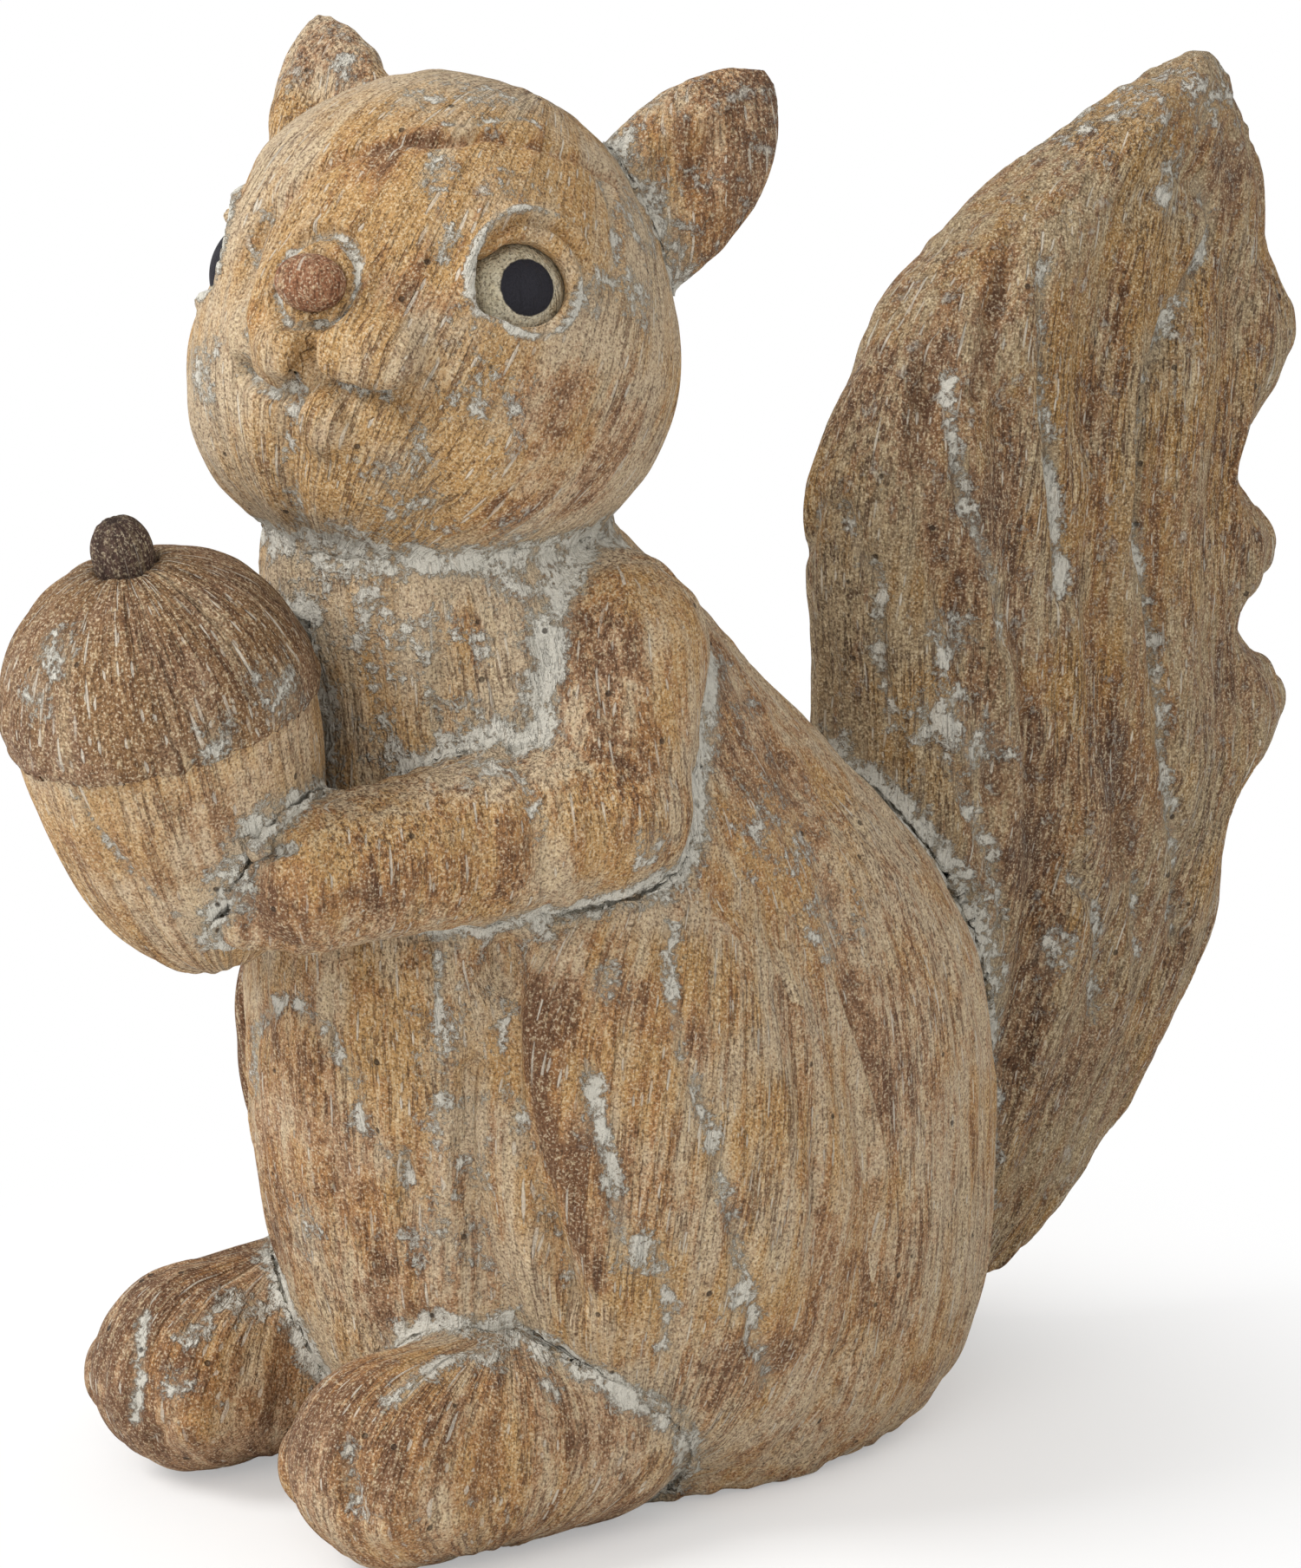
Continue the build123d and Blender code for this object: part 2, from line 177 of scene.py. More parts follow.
def skin_tree(piece):
    """The piece's skin, made ready for finding what is near or hit. Each piece's is made once."""
    if piece.name not in skin_trees:
        mesh = piece.data
        corners, faces = [v.co for v in mesh.vertices], [p.vertices for p in mesh.polygons]
        skin_trees[piece.name] = BVHTree.FromPolygons(corners, faces)
    return skin_trees[piece.name]


def on_photo(node, pixels):
    """Where the lines of sight through these pixels meet a CAD node, in millimetres."""
    spots = []
    for x, y in pixels:
        across = (x - photo_width / 2) / photo_height * sensor / lens
        up = (photo_height / 2 - y) / photo_height * sensor / lens
        sight = (camera_right * across + camera_up * up - camera_back).normalized()
        hit = skin_tree(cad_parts[node]).ray_cast(camera_place, sight)[0]
        if hit is not None:
            spots.append(np.array(hit) / MM)
    return np.array(spots).reshape(-1, 3)


def flowing(line):
    """The line with its corners rounded: a smooth curve through the same points, with six steps between them."""
    ends = np.vstack([2 * line[0] - line[1], line, 2 * line[-1] - line[-2]])
    curve = [line[0]]
    for a, b, c, d in zip(ends[:-3], ends[1:-2], ends[2:-1], ends[3:]):
        for t in np.linspace(0, 1, 7)[1:]:
            bend = (2 * a - 5 * b + 4 * c - d) * t**2 + (3 * b - a - 3 * c + d) * t**3
            curve.append(0.5 * (2 * b + (c - a) * t + bend))
    return np.array(curve)


def line_gap(points, line):
    """How far each point is from a line of straight runs."""
    gap = np.full(len(points), np.inf)
    for start, end in zip(line[:-1], line[1:]):
        run = end - start
        along = np.clip((points - start) @ run / (run @ run), 0, 1)
        gap = np.minimum(gap, np.linalg.norm(points - start - along[:, None] * run, axis=1))
    return gap


def gouge(piece, node, cuts, flips=left_side):
    """Lines cut with a round gouge, or ridges where the depth is below zero: pixels, half width, depth, lime.
    Gives back the lime that stays in them, below zero for brown, which along some lines is wash and along others
    painted shade. flips are the sides that the lines are on."""
    points = places(piece)
    amount, lime = np.zeros(len(points)), np.zeros(len(points))
    waver = 1 + 0.35 * lumps(points, 4, 21)
    for pixels, width, depth, rub in cuts:
        line = on_photo(node, pixels)
        if len(line) < 2:
            continue
        gap = np.min([line_gap(points, flowing(line) * flip) for flip in flips], axis=0)
        amount -= depth * waver * fade(gap, width)
        rubbed = rub * fade(gap / width, 1.1)
        lime = np.where(np.abs(rubbed) > np.abs(lime), rubbed, lime)
    push(piece, amount)
    return lime


def patches(points, node, spots, flips=left_side, edge=2):
    """How far inside round patches each point lies. A patch is a pixel and a radius in millimetres, and a high edge
    is a sharp one."""
    amount = np.zeros(len(points))
    for x, y, radius in spots:
        for hit, flip in product(on_photo(node, [(x, y)]), flips):
            gap = np.linalg.norm(points - hit * flip, axis=1)
            amount = np.maximum(amount, np.exp(-((gap / radius) ** edge)))
    return amount


def seam_gap(points, *nodes, reach=6.0):
    """How far each point is from the nearest of these CAD nodes, up to reach."""
    gap = np.full(len(points), reach)
    for node in nodes:
        low, high = (np.array(corner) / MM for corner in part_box(node))
        close = np.flatnonzero(np.all((points > low - reach) & (points < high + reach), axis=1))
        tree = skin_tree(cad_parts[node])
        for index in close:
            distance = tree.find_nearest(Vector(points[index] * MM), reach * MM)[3]
            if distance is not None:
                gap[index] = min(gap[index], distance / MM)
    return gap


def flow_together(piece, reach=3.6, weight=None):
    """Draws what lies close under the figure's common skin out to it, so that neighbours run into each other."""
    spots = places(piece)
    if weight is None:
        weight = np.ones(len(spots))
    for index in np.flatnonzero(weight > 0):
        near, _, _, gap = common_skin.find_nearest(Vector(spots[index] * MM), reach * MM)
        if near is not None:
            share = min(1.0, 2 - 2 * gap / MM / reach) * weight[index]
            spots[index] += (np.array(near) / MM - spots[index]) * share
    put(piece, spots)


def unevenness(points):
    """The cast surface's slow waves, 14 mm long, and its ripples of 3 mm along the carving, in millimetres."""
    waves, ripples = lumps(points, 14, 1), lumps(points * (1, 1, 0.3), 3, 2)
    return 0.40 * waves + 0.20 * ripples - 0.15


def smeared(points, filler, size=1.8):
    """How unevenly filler lies where it was smeared on, in millimetres."""
    return filler * 0.5 * lumps(points, size, 3)


def store(piece, **values):
    """Keeps each vertex's values with the mesh, for the finish to read."""
    for name, value in values.items():
        vector = value.ndim > 1
        made = piece.data.attributes.new(name, "FLOAT_VECTOR" if vector else "FLOAT", "POINT")
        made.data.foreach_set("vector" if vector else "value", value.astype(np.float32).ravel())


def straight_grain(piece, shift=0):
    """Tool marks that run up and down. shift says how far they wander backwards at each point."""
    across = np.cross(facings(piece), (0, 0, 1))
    across /= np.linalg.norm(across, axis=1)[:, None] + 1e-6
    grain = places(piece)
    grain[:, 1] -= shift
    store(piece, grain=grain, across=across)


def strokes(piece, depth):
    """The furrows of a wide gouge, 2.6 and 1.6 mm across and drawn out along the grain."""
    grain = np.empty(len(piece.data.vertices) * 3, np.float32)
    piece.data.attributes["grain"].data.foreach_get("vector", grain)
    grain = grain.reshape(-1, 3).astype(float)
    furrows = lumps(grain * (1, 1, 0.1), 2.6, 23) + 0.6 * lumps(grain * (1, 1, 0.14), 1.6, 24)
    push(piece, depth * (furrows - 0.5))


def linear(code):
    """An sRGB hex colour as Blender's linear one."""
    parts = (int(code[i:i + 2], 16) / 255 for i in (1, 3, 5))
    return tuple(p / 12.92 if p <= 0.04045 else ((p + 0.055) / 1.055) ** 2.4 for p in parts) + (1.0,)


def add(tree, kind, inputs=(), out=0, **settings):
    """One node, with its settings, its values and what is plugged into it. Gives back one of its outputs."""
    made = tree.nodes.new("ShaderNode" + kind)
    for key, value in settings.items():
        setattr(made, key, value)
    for key, value in inputs.items() if isinstance(inputs, dict) else enumerate(inputs):
        if isinstance(value, bpy.types.NodeSocket):
            tree.links.new(value, made.inputs[key])
        else:
            made.inputs[key].default_value = value
    return made.outputs[out] if made.outputs else None


def added_up(tree, start, *parts):
    """Patterns added to a start, each by its weight."""
    for pattern, weight in parts:
        start = add(tree, "Math", (pattern, weight, start), operation="MULTIPLY_ADD")
    return start


def carved_stone(name, tan, ochre, rust, brown, nicks=0.5, comb=1.0, pupil=None):
    """Cast stone mix, matt: an ochre wash over tan, brown wash left in patches, lime in every cut, pinholes and sand.
    To the eye it is dry and rough, so it has no gloss, and its light places are the rubbed ones."""
    material = bpy.data.materials.new(name)
    material.use_nodes = True
    tree = material.node_tree
    tree.nodes.clear()
    times, plus, minus = ({"operation": word} for word in ("MULTIPLY", "ADD", "SUBTRACT"))
    soft = {"interpolation_type": "SMOOTHSTEP"}
    grain, across = (add(tree, "Attribute", out="Vector", attribute_name=kept) for kept in ("grain", "across"))
    chalk, wash, warm = (add(tree, "Attribute", out="Fac", attribute_name=kept) for kept in ("chalk", "wash", "warm"))
    spot = add(tree, "TexCoord", out="Object")

    # Clouds, in lumps to the metre: patches of colour 15 mm across, mottle of 4 mm, specks of 0.8 mm and sand of
    # 0.35 mm, then the places where the comb was used, 20 mm across, and where short cuts crowd, 12 mm across
    cloud, mottle, speck, sand, comb_cloud, crowd = (
        add(tree, "TexNoise", {"Vector": spot, "Scale": to_the_metre, "Detail": detail, "Roughness": rough})
        for to_the_metre, detail, rough in (
            (65.0, 3.0, 0.5), (260.0, 4.0, 0.7), (1200.0, 3.0, 0.75), (2800.0, 1.0, 0.6),
            (50.0, 2.0, 0.5), (80.0, 1.0, 0.5),
        )
    )

    # Bands, streaks and comb lines along the grain, by their width and length in mm
    bands, streaks, lines = (
        add(tree, "TexNoise", {
            "Vector": add(tree, "VectorMath", (grain, (1 / width, 1 / width, 1 / length)), **times),
            "Scale": 1.0, "Detail": detail, "Roughness": rough,
        })
        for width, length, detail, rough in ((3.5, 30, 3.0, 0.65), (1.6, 18, 3.0, 0.6), (0.62, 7, 2.0, 0.55))
    )
    combed = add(tree, "Math", (add(tree, "MapRange", (comb_cloud, 0.42, 0.60, 0.15, 1.0), **soft), comb), **times)
    groove = add(tree, "MapRange", (added_up(tree, lines, (speck, 0.10)), 0.50, 0.41), **soft)
    groove = add(tree, "Math", (groove, combed), **times)

    # Short gouge cuts along the grain, of two sizes: how much of one each point lies in. The grain is divided into
    # rooms. A size gives a cut's width and length and a room's, all in mm, a shift, and the share of rooms with a cut
    crowded = add(tree, "MapRange", (crowd, 0.36, 0.62, 0.25, 1.25), **soft)
    nick = 0.0
    for width, length, room, run, shift, share in (
        (0.22, 2.4, 2.3, 6.6, 3.7, nicks), (0.20, 0.9, 1.7, 3.2, 11.3, nicks * 0.8),
    ):
        laid = add(tree, "VectorMath", (grain, (1 / room, 1 / room, 1 / run)), **times)
        laid = add(tree, "VectorMath", (laid, (shift, shift, shift)), **plus)
        rooms = add(tree, "TexVoronoi", {"Vector": laid, "Scale": 1.0, "Randomness": 1.0}).node.outputs
        chance = add(tree, "SeparateColor", (rooms["Color"],)).node.outputs
        away = add(tree, "VectorMath", (laid, rooms["Position"]), **minus)
        down = add(tree, "SeparateXYZ", (away,), out="Z")
        tilt = add(tree, "Math", (add(tree, "Math", (chance["Green"], 0.5), **minus), 3.4), **times)
        sideways = add(tree, "VectorMath", (away, across), out="Value", operation="DOT_PRODUCT")
        sideways = added_up(tree, add(tree, "Math", (down, tilt), **times), (sideways, room / width))
        stretch = added_up(tree, 0.35, (chance["Blue"], 0.9))
        down = add(tree, "Math", (add(tree, "Math", (down, run / length), **times), stretch), operation="DIVIDE")
        oval = added_up(tree, -0.8, (sideways, sideways), (down, down), (speck, 1.6))
        inside = add(tree, "MapRange", (oval, 1.1, 0.5), **soft)
        strength = added_up(tree, 0.25, (chance["Blue"], 0.65))
        limit = add(tree, "Math", (crowded, share), **times)
        chosen = add(tree, "Math", (chance["Red"], limit), operation="LESS_THAN")
        cut = add(tree, "Math", (add(tree, "Math", (inside, strength), **times), chosen), **times)
        nick = add(tree, "Math", (nick, cut), operation="MAXIMUM")

    # Air holes of 0.5 to 1 mm, in a fifth of the rooms of 4 mm
    rooms = add(tree, "TexVoronoi", {"Vector": spot, "Scale": 260.0}).node.outputs
    chosen = add(tree, "Math", (add(tree, "SeparateColor", (rooms["Color"],)), 0.78), operation="GREATER_THAN")
    hole = add(tree, "Math", (add(tree, "MapRange", (rooms["Distance"], 0.13, 0.07), **soft), chosen), **times)

    warmth = added_up(tree, -0.45, (cloud, 1.0), (warm, 0.26), (bands, 0.9))
    # The wash attribute holds painted shade as well as wash on the rump, the thighs' front edges, the brow and the
    # tail's valleys
    left_on = added_up(tree, -2.0, (wash, 1.0), (streaks, 1.7), (mottle, 1.5), (bands, 0.8))
    cover = added_up(tree, -2.35, (chalk, 1.0), (mottle, 3.2), (speck, 1.5))
    cover = add(tree, "MapRange", (cover, 0.42, 0.85), **soft)
    lime = add(tree, "Math", (cover, add(tree, "MapRange", (chalk, 0.05, 0.30), **soft)), **times)
    comb_edge = add(tree, "Math", (add(tree, "MapRange", (lines, 0.57, 0.70), **soft), combed), **times)

    # The coats from the tan up, each with where it lies, its strength and its colour: ochre in bands, rubbed tan,
    # rust and brown where the wash ran together and, on some pieces, where shade is painted, the comb's lines and
    # their edges, specks, sand, lime, which on the tail's ridges is also a painted highlight, cuts and holes
    coats = [
        (add(tree, "MapRange", (warmth, 0.40, 0.74), **soft), 1.0, ochre),
        (add(tree, "MapRange", (bands, 0.46, 0.28), **soft), 0.40, "#c9b189"),
        (add(tree, "MapRange", (left_on, 0.08, 0.55), **soft), 0.62, rust),
        (add(tree, "MapRange", (left_on, 0.36, 0.90), **soft), 0.85, brown),
        (groove, 0.62, brown),
        (comb_edge, 0.42, "#dcc8a4"),
        (add(tree, "MapRange", (speck, 0.53, 0.66), **soft), 0.40, "#d8c49e"),
        (add(tree, "MapRange", (speck, 0.47, 0.35), **soft), 0.50, brown),
        (add(tree, "MapRange", (sand, 0.56, 0.68), **soft), 0.46, "#e6d6b8"),
        (add(tree, "MapRange", (sand, 0.46, 0.34), **soft), 0.58, "#3d2b1e"),
        (add(tree, "MapRange", (chalk, 0.15, 0.90), **soft), 0.42, "#ada08a"),
        (lime, 0.90, "#cbc8bd"),
        (nick, 0.80, "#d6cdbd"),
        (hole, 0.80, "#3a2e24"),
    ]
    if pupil:
        ink = added_up(tree, -0.25, (add(tree, "Attribute", out="Fac", attribute_name="ink"), 1.0), (speck, 0.5))
        coats.append((add(tree, "MapRange", (ink, 0.38, 0.62), **soft), 1.0, pupil))
    colour = linear(tan)
    for where, strength, coat in coats:
        share = add(tree, "Math", (where, strength), **times)
        colour = add(tree, "Mix", {0: share, 6: colour, 7: linear(coat)}, out=2, data_type="RGBA")

    # Each pattern's height in mm
    height = added_up(
        tree, 0.0, (bands, 1.6 * comb), (streaks, 1.5), (groove, -0.30), (lines, 0.30 * comb), (mottle, 0.75),
        (speck, 0.48), (sand, 0.14), (lime, 0.45), (nick, -0.25), (hole, -0.60),
    )
    relief = add(tree, "Bump", {"Height": height, "Distance": MM, "Strength": 1.0})
    stone = add(tree, "BsdfPrincipled", {
        "Base Color": colour, "Roughness": 0.88, "Normal": relief, "Specular IOR Level": 0.25,
    })
    add(tree, "OutputMaterial", {"Surface": stone})
    return material


def dress(piece, node, material):
    """Puts the finish on a piece and lets it stand for its CAD node."""
    piece.data.materials.append(material)
    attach(piece, "root")
    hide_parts(node)


fur = carved_stone("cast_stone_ochre_wash", "#bda78a", "#b58e5b", "#9c693f", "#674834", nicks=0.3)

# The figure is one casting, so its pieces run into each other over a common skin
figure_nodes = (
    "body", "haunch_left", "haunch_right", "arm_left", "arm_right", "foot_left", "foot_right",
    "head", "ear_left", "ear_right", "tail", "acorn_nut", "acorn_cup",
)
figure = blank("figure_skin", figure_nodes, facet=1.0, soften=7)
common_skin = skin_tree(figure)
bpy.data.objects.remove(figure)

trunk_radius, trunk_height = 44.0, 142.0
# Height, centre behind the middle, half width, half depth
trunk_rings = flowing(np.array([
    (0.0, 32.5, 31.7, 40.3),
    (7.1, 33.0, 37.0, 47.0),
    (21.3, 31.9, 41.8, 53.8),
    (45.4, 29.1, 44.0, 56.8),
    (68.2, 26.3, 43.1, 56.0),
    (90.9, 19.0, 38.7, 46.5),
    (110.8, 10.3, 32.6, 35.5),
    (129.2, -0.2, 26.4, 27.8),
    (142.0, -3.9, 20.2, 21.9),
]))
belly_band_line = [(343, 1162), (400, 1237), (414, 1309)]
belly_groove_line = [(543, 1241), (532, 1330), (539, 1401), (552, 1501)]
belly_cut_line = [(504, 1101), (505, 1187)]
belly_short_line = [(464, 1330), (464, 1384)]
belly_slanted_line = [(425, 1312), (457, 1344), (496, 1387)]
neck_first_line = [(440, 700), (430, 780), (440, 850)]
neck_second_line = [(520, 690), (505, 770), (500, 850)]
back_line = [(905, 860), (955, 1010), (985, 1180), (1010, 1330)]
thigh_front_line = [(578, 1115), (580, 1200), (592, 1290), (620, 1400), (658, 1505)]
rump_line = [(947, 1380), (979, 1467), (979, 1561), (947, 1617), (897, 1649), (797, 1667)]
trunk_lime = [
    (430, 690, 6), (480, 760, 8), (440, 870, 7), (560, 830, 6), (600, 1510, 7), (560, 1450, 5), (640, 690, 6),
]
trunk_dust = [
    (900, 950, 12), (850, 790, 7), (960, 1060, 9), (500, 1420, 9), (350, 1420, 6), (530, 1200, 8), (535, 1300, 8),
    (560, 1390, 8), (590, 1470, 7),
]
# Brown wash patches. The large one on the rump, at 1030, 1230, is painted shade where the rump turns away from the
# light
trunk_brown_and_rump_shade = [
    (310, 1200, 6), (320, 1350, 8), (430, 1480, 9), (1030, 1230, 14), (700, 1690, 5), (850, 1665, 5), (1000, 1480, 9),
    (380, 1300, 7), (880, 880, 9), (830, 780, 8), (1000, 1400, 8),
]
trunk_warm = [(430, 1250, 12), (1000, 1500, 10), (900, 1010, 9), (600, 1180, 8), (400, 1400, 8)]
# In front of the thighs the pieces keep this share of their own shape, and a crease is cut this deep and wide
crease_share, crease_depth, crease_width = 0.85, 1.3, 2.2

bpy.ops.object.select_all(action="DESELECT")
bpy.ops.mesh.primitive_cylinder_add(
    vertices=96, radius=trunk_radius * MM, depth=trunk_height * MM, location=(0, 0, trunk_height / 2 * MM)
)
trunk = bpy.context.object
trunk.name = "trunk"
bpy.ops.object.transform_apply(location=True, rotation=True, scale=True)
lay_facets(trunk, facet=0.8)
points = places(trunk)
centre, half_width, half_depth = (np.interp(points[:, 2], trunk_rings[:, 0], trunk_rings[:, k]) for k in (1, 2, 3))
points[:, 0] *= half_width / trunk_radius
points[:, 1] = centre + points[:, 1] * half_depth / trunk_radius
put(trunk, points)
wear(trunk, soften=5)
points = places(trunk)
crease = rise(points[:, 1], 12, -2) * (seam_gap(points, "haunch_left", "haunch_right") < 5)
flow_together(trunk, weight=1 - crease_share * crease)
push(trunk, unevenness(places(trunk)))
lime = gouge(trunk, "body", (
    (belly_band_line, 2.0, 0.6, 0.55),
    (belly_groove_line, 1.5, 1.1, 0.4),
    (belly_cut_line, 0.8, 0.7, 0.75),
    (belly_short_line, 0.8, 0.6, 0.7),
    (belly_slanted_line, 0.8, 0.6, 0.5),
    (back_line, 2.8, 0.9, -0.3),
    (neck_first_line, 1.5, 0.9, 0.5),
    (neck_second_line, 1.5, 0.9, 0.5),
    (thigh_front_line, 4.0, 2.8, 0.3),
    (rump_line, 1.6, 1.0, 0.3),
), both_sides)
points = places(trunk)
seam = seam_gap(points, "arm_left", "arm_right", "foot_left", "foot_right", "head", "acorn_nut", "acorn_cup", "tail")
filler = 1.05 * fade(seam, 3.3)
crease = rise(points[:, 1], 12, -2)
thigh = seam_gap(points, "haunch_left", "haunch_right")
push(trunk, smeared(points, filler) - crease_depth * crease * fade(thigh, crease_width))
chest = rise(points[:, 2], 112, 126)
brown_lines_and_shade = np.maximum(-lime, 0)
store(
    trunk,
    chalk=np.max([
        lime, filler, 0.4 * crease * fade(thigh, 2.0), 0.35 * chest,
        0.6 * patches(points, "body", trunk_lime, both_sides), 0.45 * patches(points, "body", trunk_dust, both_sides),
    ], axis=0),
    # The wash here also carries the painted shade of the rump patch
    wash=brown_lines_and_shade + 0.16 + 0.15 * lumps(points, 24, 3) + 0.45 * patches(points, "body", trunk_brown_and_rump_shade, both_sides),
    warm=patches(points, "body", trunk_warm, both_sides),
)
straight_grain(trunk, shift=0.35 * np.interp(points[:, 2], trunk_rings[:, 0], trunk_rings[:, 3]))
strokes(trunk, depth=0.42)
dress(trunk, "body", fur)

# ---- Haunches ----
# Egg-shaped thighs of the same stone mix, cast with the trunk and parted from it by a gouged line in front.
# The lines down their sides were cut with a wider gouge and hold the most lime.
def turned_grain(piece, centre, pole, radius, squash=(1.0, 1.0, 1.0)):
    """Tool marks that run from a pole down all sides, as hair does from a crown."""
    pole = np.array(pole) / np.linalg.norm(pole)
    off_the_pole = (0.36, -0.93, 0.1)
    side = np.cross(pole, off_the_pole)
    side /= np.linalg.norm(side)
    front = np.cross(pole, side)
    spot = (places(piece) - centre) / squash
    spot /= np.linalg.norm(spot, axis=1)[:, None] + 1e-6
    fall = np.arccos(np.clip(spot @ pole, -1, 1))
    turn = np.arctan2(spot @ side, spot @ front)
    store(
        piece,
        grain=np.stack([radius * np.cos(turn), radius * np.sin(turn), 1.25 * radius * fall], 1),
        across=np.stack([-np.sin(turn), np.cos(turn), 0 * turn], 1),
    )


thigh_first_line = [(679, 1241), (700, 1330), (711, 1387), (714, 1437)]
thigh_top_line = [(779, 1042), (779, 1130), (788, 1217)]
thigh_long_line = [(805, 1249), (829, 1330), (857, 1450), (872, 1530), (890, 1600)]
thigh_low_line = [(757, 1440), (772, 1505), (766, 1561)]
# A raised line down the thigh's front edge, with brown laid on it as painted shade where the thigh bulges away from
# the belly
thigh_edge_shade_line = [(612, 1130), (612, 1223), (630, 1312), (658, 1401), (690, 1480)]
thigh_back_line = [(900, 1150), (935, 1280), (950, 1400), (945, 1500)]
thigh_brown = [
    (640, 1180, 7), (720, 1150, 6), (800, 1180, 5), (660, 1330, 7), (700, 1400, 5), (900, 1560, 6), (845, 1400, 4),
    (840, 1580, 7),
]
thigh_warm = [
    (670, 1230, 10), (800, 1160, 8), (660, 1400, 8), (740, 1230, 8), (880, 1540, 9), (860, 1300, 6), (720, 1500, 9),
]
thigh_lime = [(690, 1300, 3), (735, 1450, 4), (860, 1500, 4), (700, 1130, 3)]
for side, node, flips in ((1, "haunch_left", left_side), (-1, "haunch_right", right_side)):
    haunch = blank(node + "_cast", (node,), facet=0.65, soften=6)
    points = places(haunch)
    flow_together(haunch, weight=1 - crease_share * rise(points[:, 1], 10, -2) * (points[:, 2] > 22))
    push(haunch, unevenness(places(haunch)) - 0.1)
    lime = gouge(haunch, "haunch_left", (
        (thigh_first_line, 1.6, 1.0, 0.75),
        (thigh_top_line, 1.3, 0.9, 0.8),
        (thigh_long_line, 1.7, 1.0, 0.65),
        (thigh_low_line, 1.5, 0.8, 0.7),
        (thigh_back_line, 2.4, 0.8, -0.3),
        (thigh_edge_shade_line, 2.0, -0.5, -0.7),
        (thigh_front_line, 2.6, 2.8, 0.4),
    ), flips)
    points = places(haunch)
    seam = seam_gap(points, "arm_left", "arm_right", "foot_left", "foot_right")
    edge = rise(points[:, 1], 8, -4) * fade(seam_gap(points, "body"), 1.6)
    push(haunch, -0.5 * edge)
    light = patches(points, "haunch_left", thigh_lime, flips)
    dark = patches(points, "haunch_left", thigh_brown, flips)
    store(
        haunch,
        chalk=np.max([lime, 0.9 * fade(seam, 2.4), 0.3 * edge, 0.7 * light], axis=0),
        # The brown from the cut lines includes the painted shade along the thigh's front edge
        wash=np.maximum(-lime, 0) + 0.10 + 0.15 * lumps(points, 12, 5) + 0.6 * dark,
        warm=patches(points, "haunch_left", thigh_warm, flips),
    )
    turned_grain(haunch, centre=(side * 26, 15, 50), pole=(0, 0.25, 1), radius=30, squash=(0.9, 1.0, 1.6))
    strokes(haunch, depth=0.42)
    dress(haunch, node, fur)

# ---- Feet ----
# Rounded hind feet of the same casting, flat underneath, with gouged toes and lime on the instep.
# They are luted to the haunches and the trunk, and the far one took more of the brown wash.
near_toe_line = [(399, 1670), (400, 1700), (401, 1728)]
near_instep_line = [(453, 1612), (506, 1572), (564, 1554), (605, 1527)]
near_sole_line = [(372, 1733), (462, 1759), (551, 1737)]
near_foot_brown = [(380, 1600, 8), (430, 1680, 8), (340, 1640, 8), (520, 1640, 5)]
near_foot_warm = [(480, 1640, 10), (560, 1680, 9), (420, 1600, 7)]
near_foot_lime = [(500, 1575, 4), (570, 1560, 5), (620, 1560, 4), (640, 1600, 3)]
far_toe_line = [(163, 1514), (156, 1585), (151, 1639)]
far_instep_line = [(265, 1496), (235, 1520), (203, 1541)]
far_sole_line = [(172, 1666), (207, 1634), (261, 1623)]
far_foot_brown = [(110, 1560, 6), (180, 1490, 6), (150, 1650, 7), (120, 1620, 6)]
far_foot_warm = [(230, 1570, 10), (260, 1640, 7)]
far_foot_lime = [(230, 1530, 4), (200, 1600, 3), (280, 1500, 5)]
for side, node, brownness, cuts, brown_spots, warm_spots, lime_spots in (
    (1, "foot_left", 0.42, (
        (near_toe_line, 1.5, 1.6, 0.5), (near_instep_line, 1.8, -0.4, 0.8), (near_sole_line, 1.1, 0.6, 0.3),
    ), near_foot_brown, near_foot_warm, near_foot_lime),
    (-1, "foot_right", 0.58, (
        (far_toe_line, 1.2, 1.0, 0.8), (far_instep_line, 0.9, 0.5, 0.8), (far_sole_line, 1.0, 0.6, 0.3),
    ), far_foot_brown, far_foot_warm, far_foot_lime),
):
    foot = blank("hind_" + node, (node,), facet=0.55, soften=14)
    flow_together(foot)
    push(foot, unevenness(places(foot)))
    lime = gouge(foot, node, cuts)
    points = places(foot)
    seam = seam_gap(points, "body", "haunch_left", "haunch_right")
    store(
        foot,
        chalk=np.max([lime, 0.8 * fade(seam, 3.0), 0.6 * patches(points, node, lime_spots)], axis=0),
        wash=brownness + 0.2 * lumps(points, 10, 7) + 0.4 * patches(points, node, brown_spots),
        warm=patches(points, node, warm_spots),
    )
    turned_grain(foot, centre=(side * 24, -14, 10), pole=(0, 0.1, 1), radius=18, squash=(1.0, 1.6, 1.0))
    strokes(foot, depth=0.36)
    dress(foot, node, fur)

# ---- Arms ----
# Upper arm, forearm and paw in one, of the same stone mix, bedded on the chest and closed on the nut.
# Filler was smeared along the forearm and left pale.
finger_line = [(246, 974), (290, 978), (335, 976)]
thumb_line = [(276, 940), (262, 958), (274, 974)]
forearm_top_line = [(263, 915), (347, 906), (436, 910), (558, 860)]
elbow_line = [(617, 790), (596, 864), (617, 940), (629, 1010)]
sleeve_line = [(690, 700), (700, 800), (735, 900)]
arm_brown = [
    (690, 760, 8), (650, 720, 6), (720, 850, 7), (280, 1010, 6), (320, 1060, 6), (440, 1030, 5), (590, 1000, 5),
]
arm_warm = [(480, 970, 9), (560, 1000, 8), (700, 950, 9), (760, 820, 7), (380, 1000, 8)]
arm_lime = [(560, 880, 5), (620, 850, 4), (750, 980, 4), (300, 930, 3)]
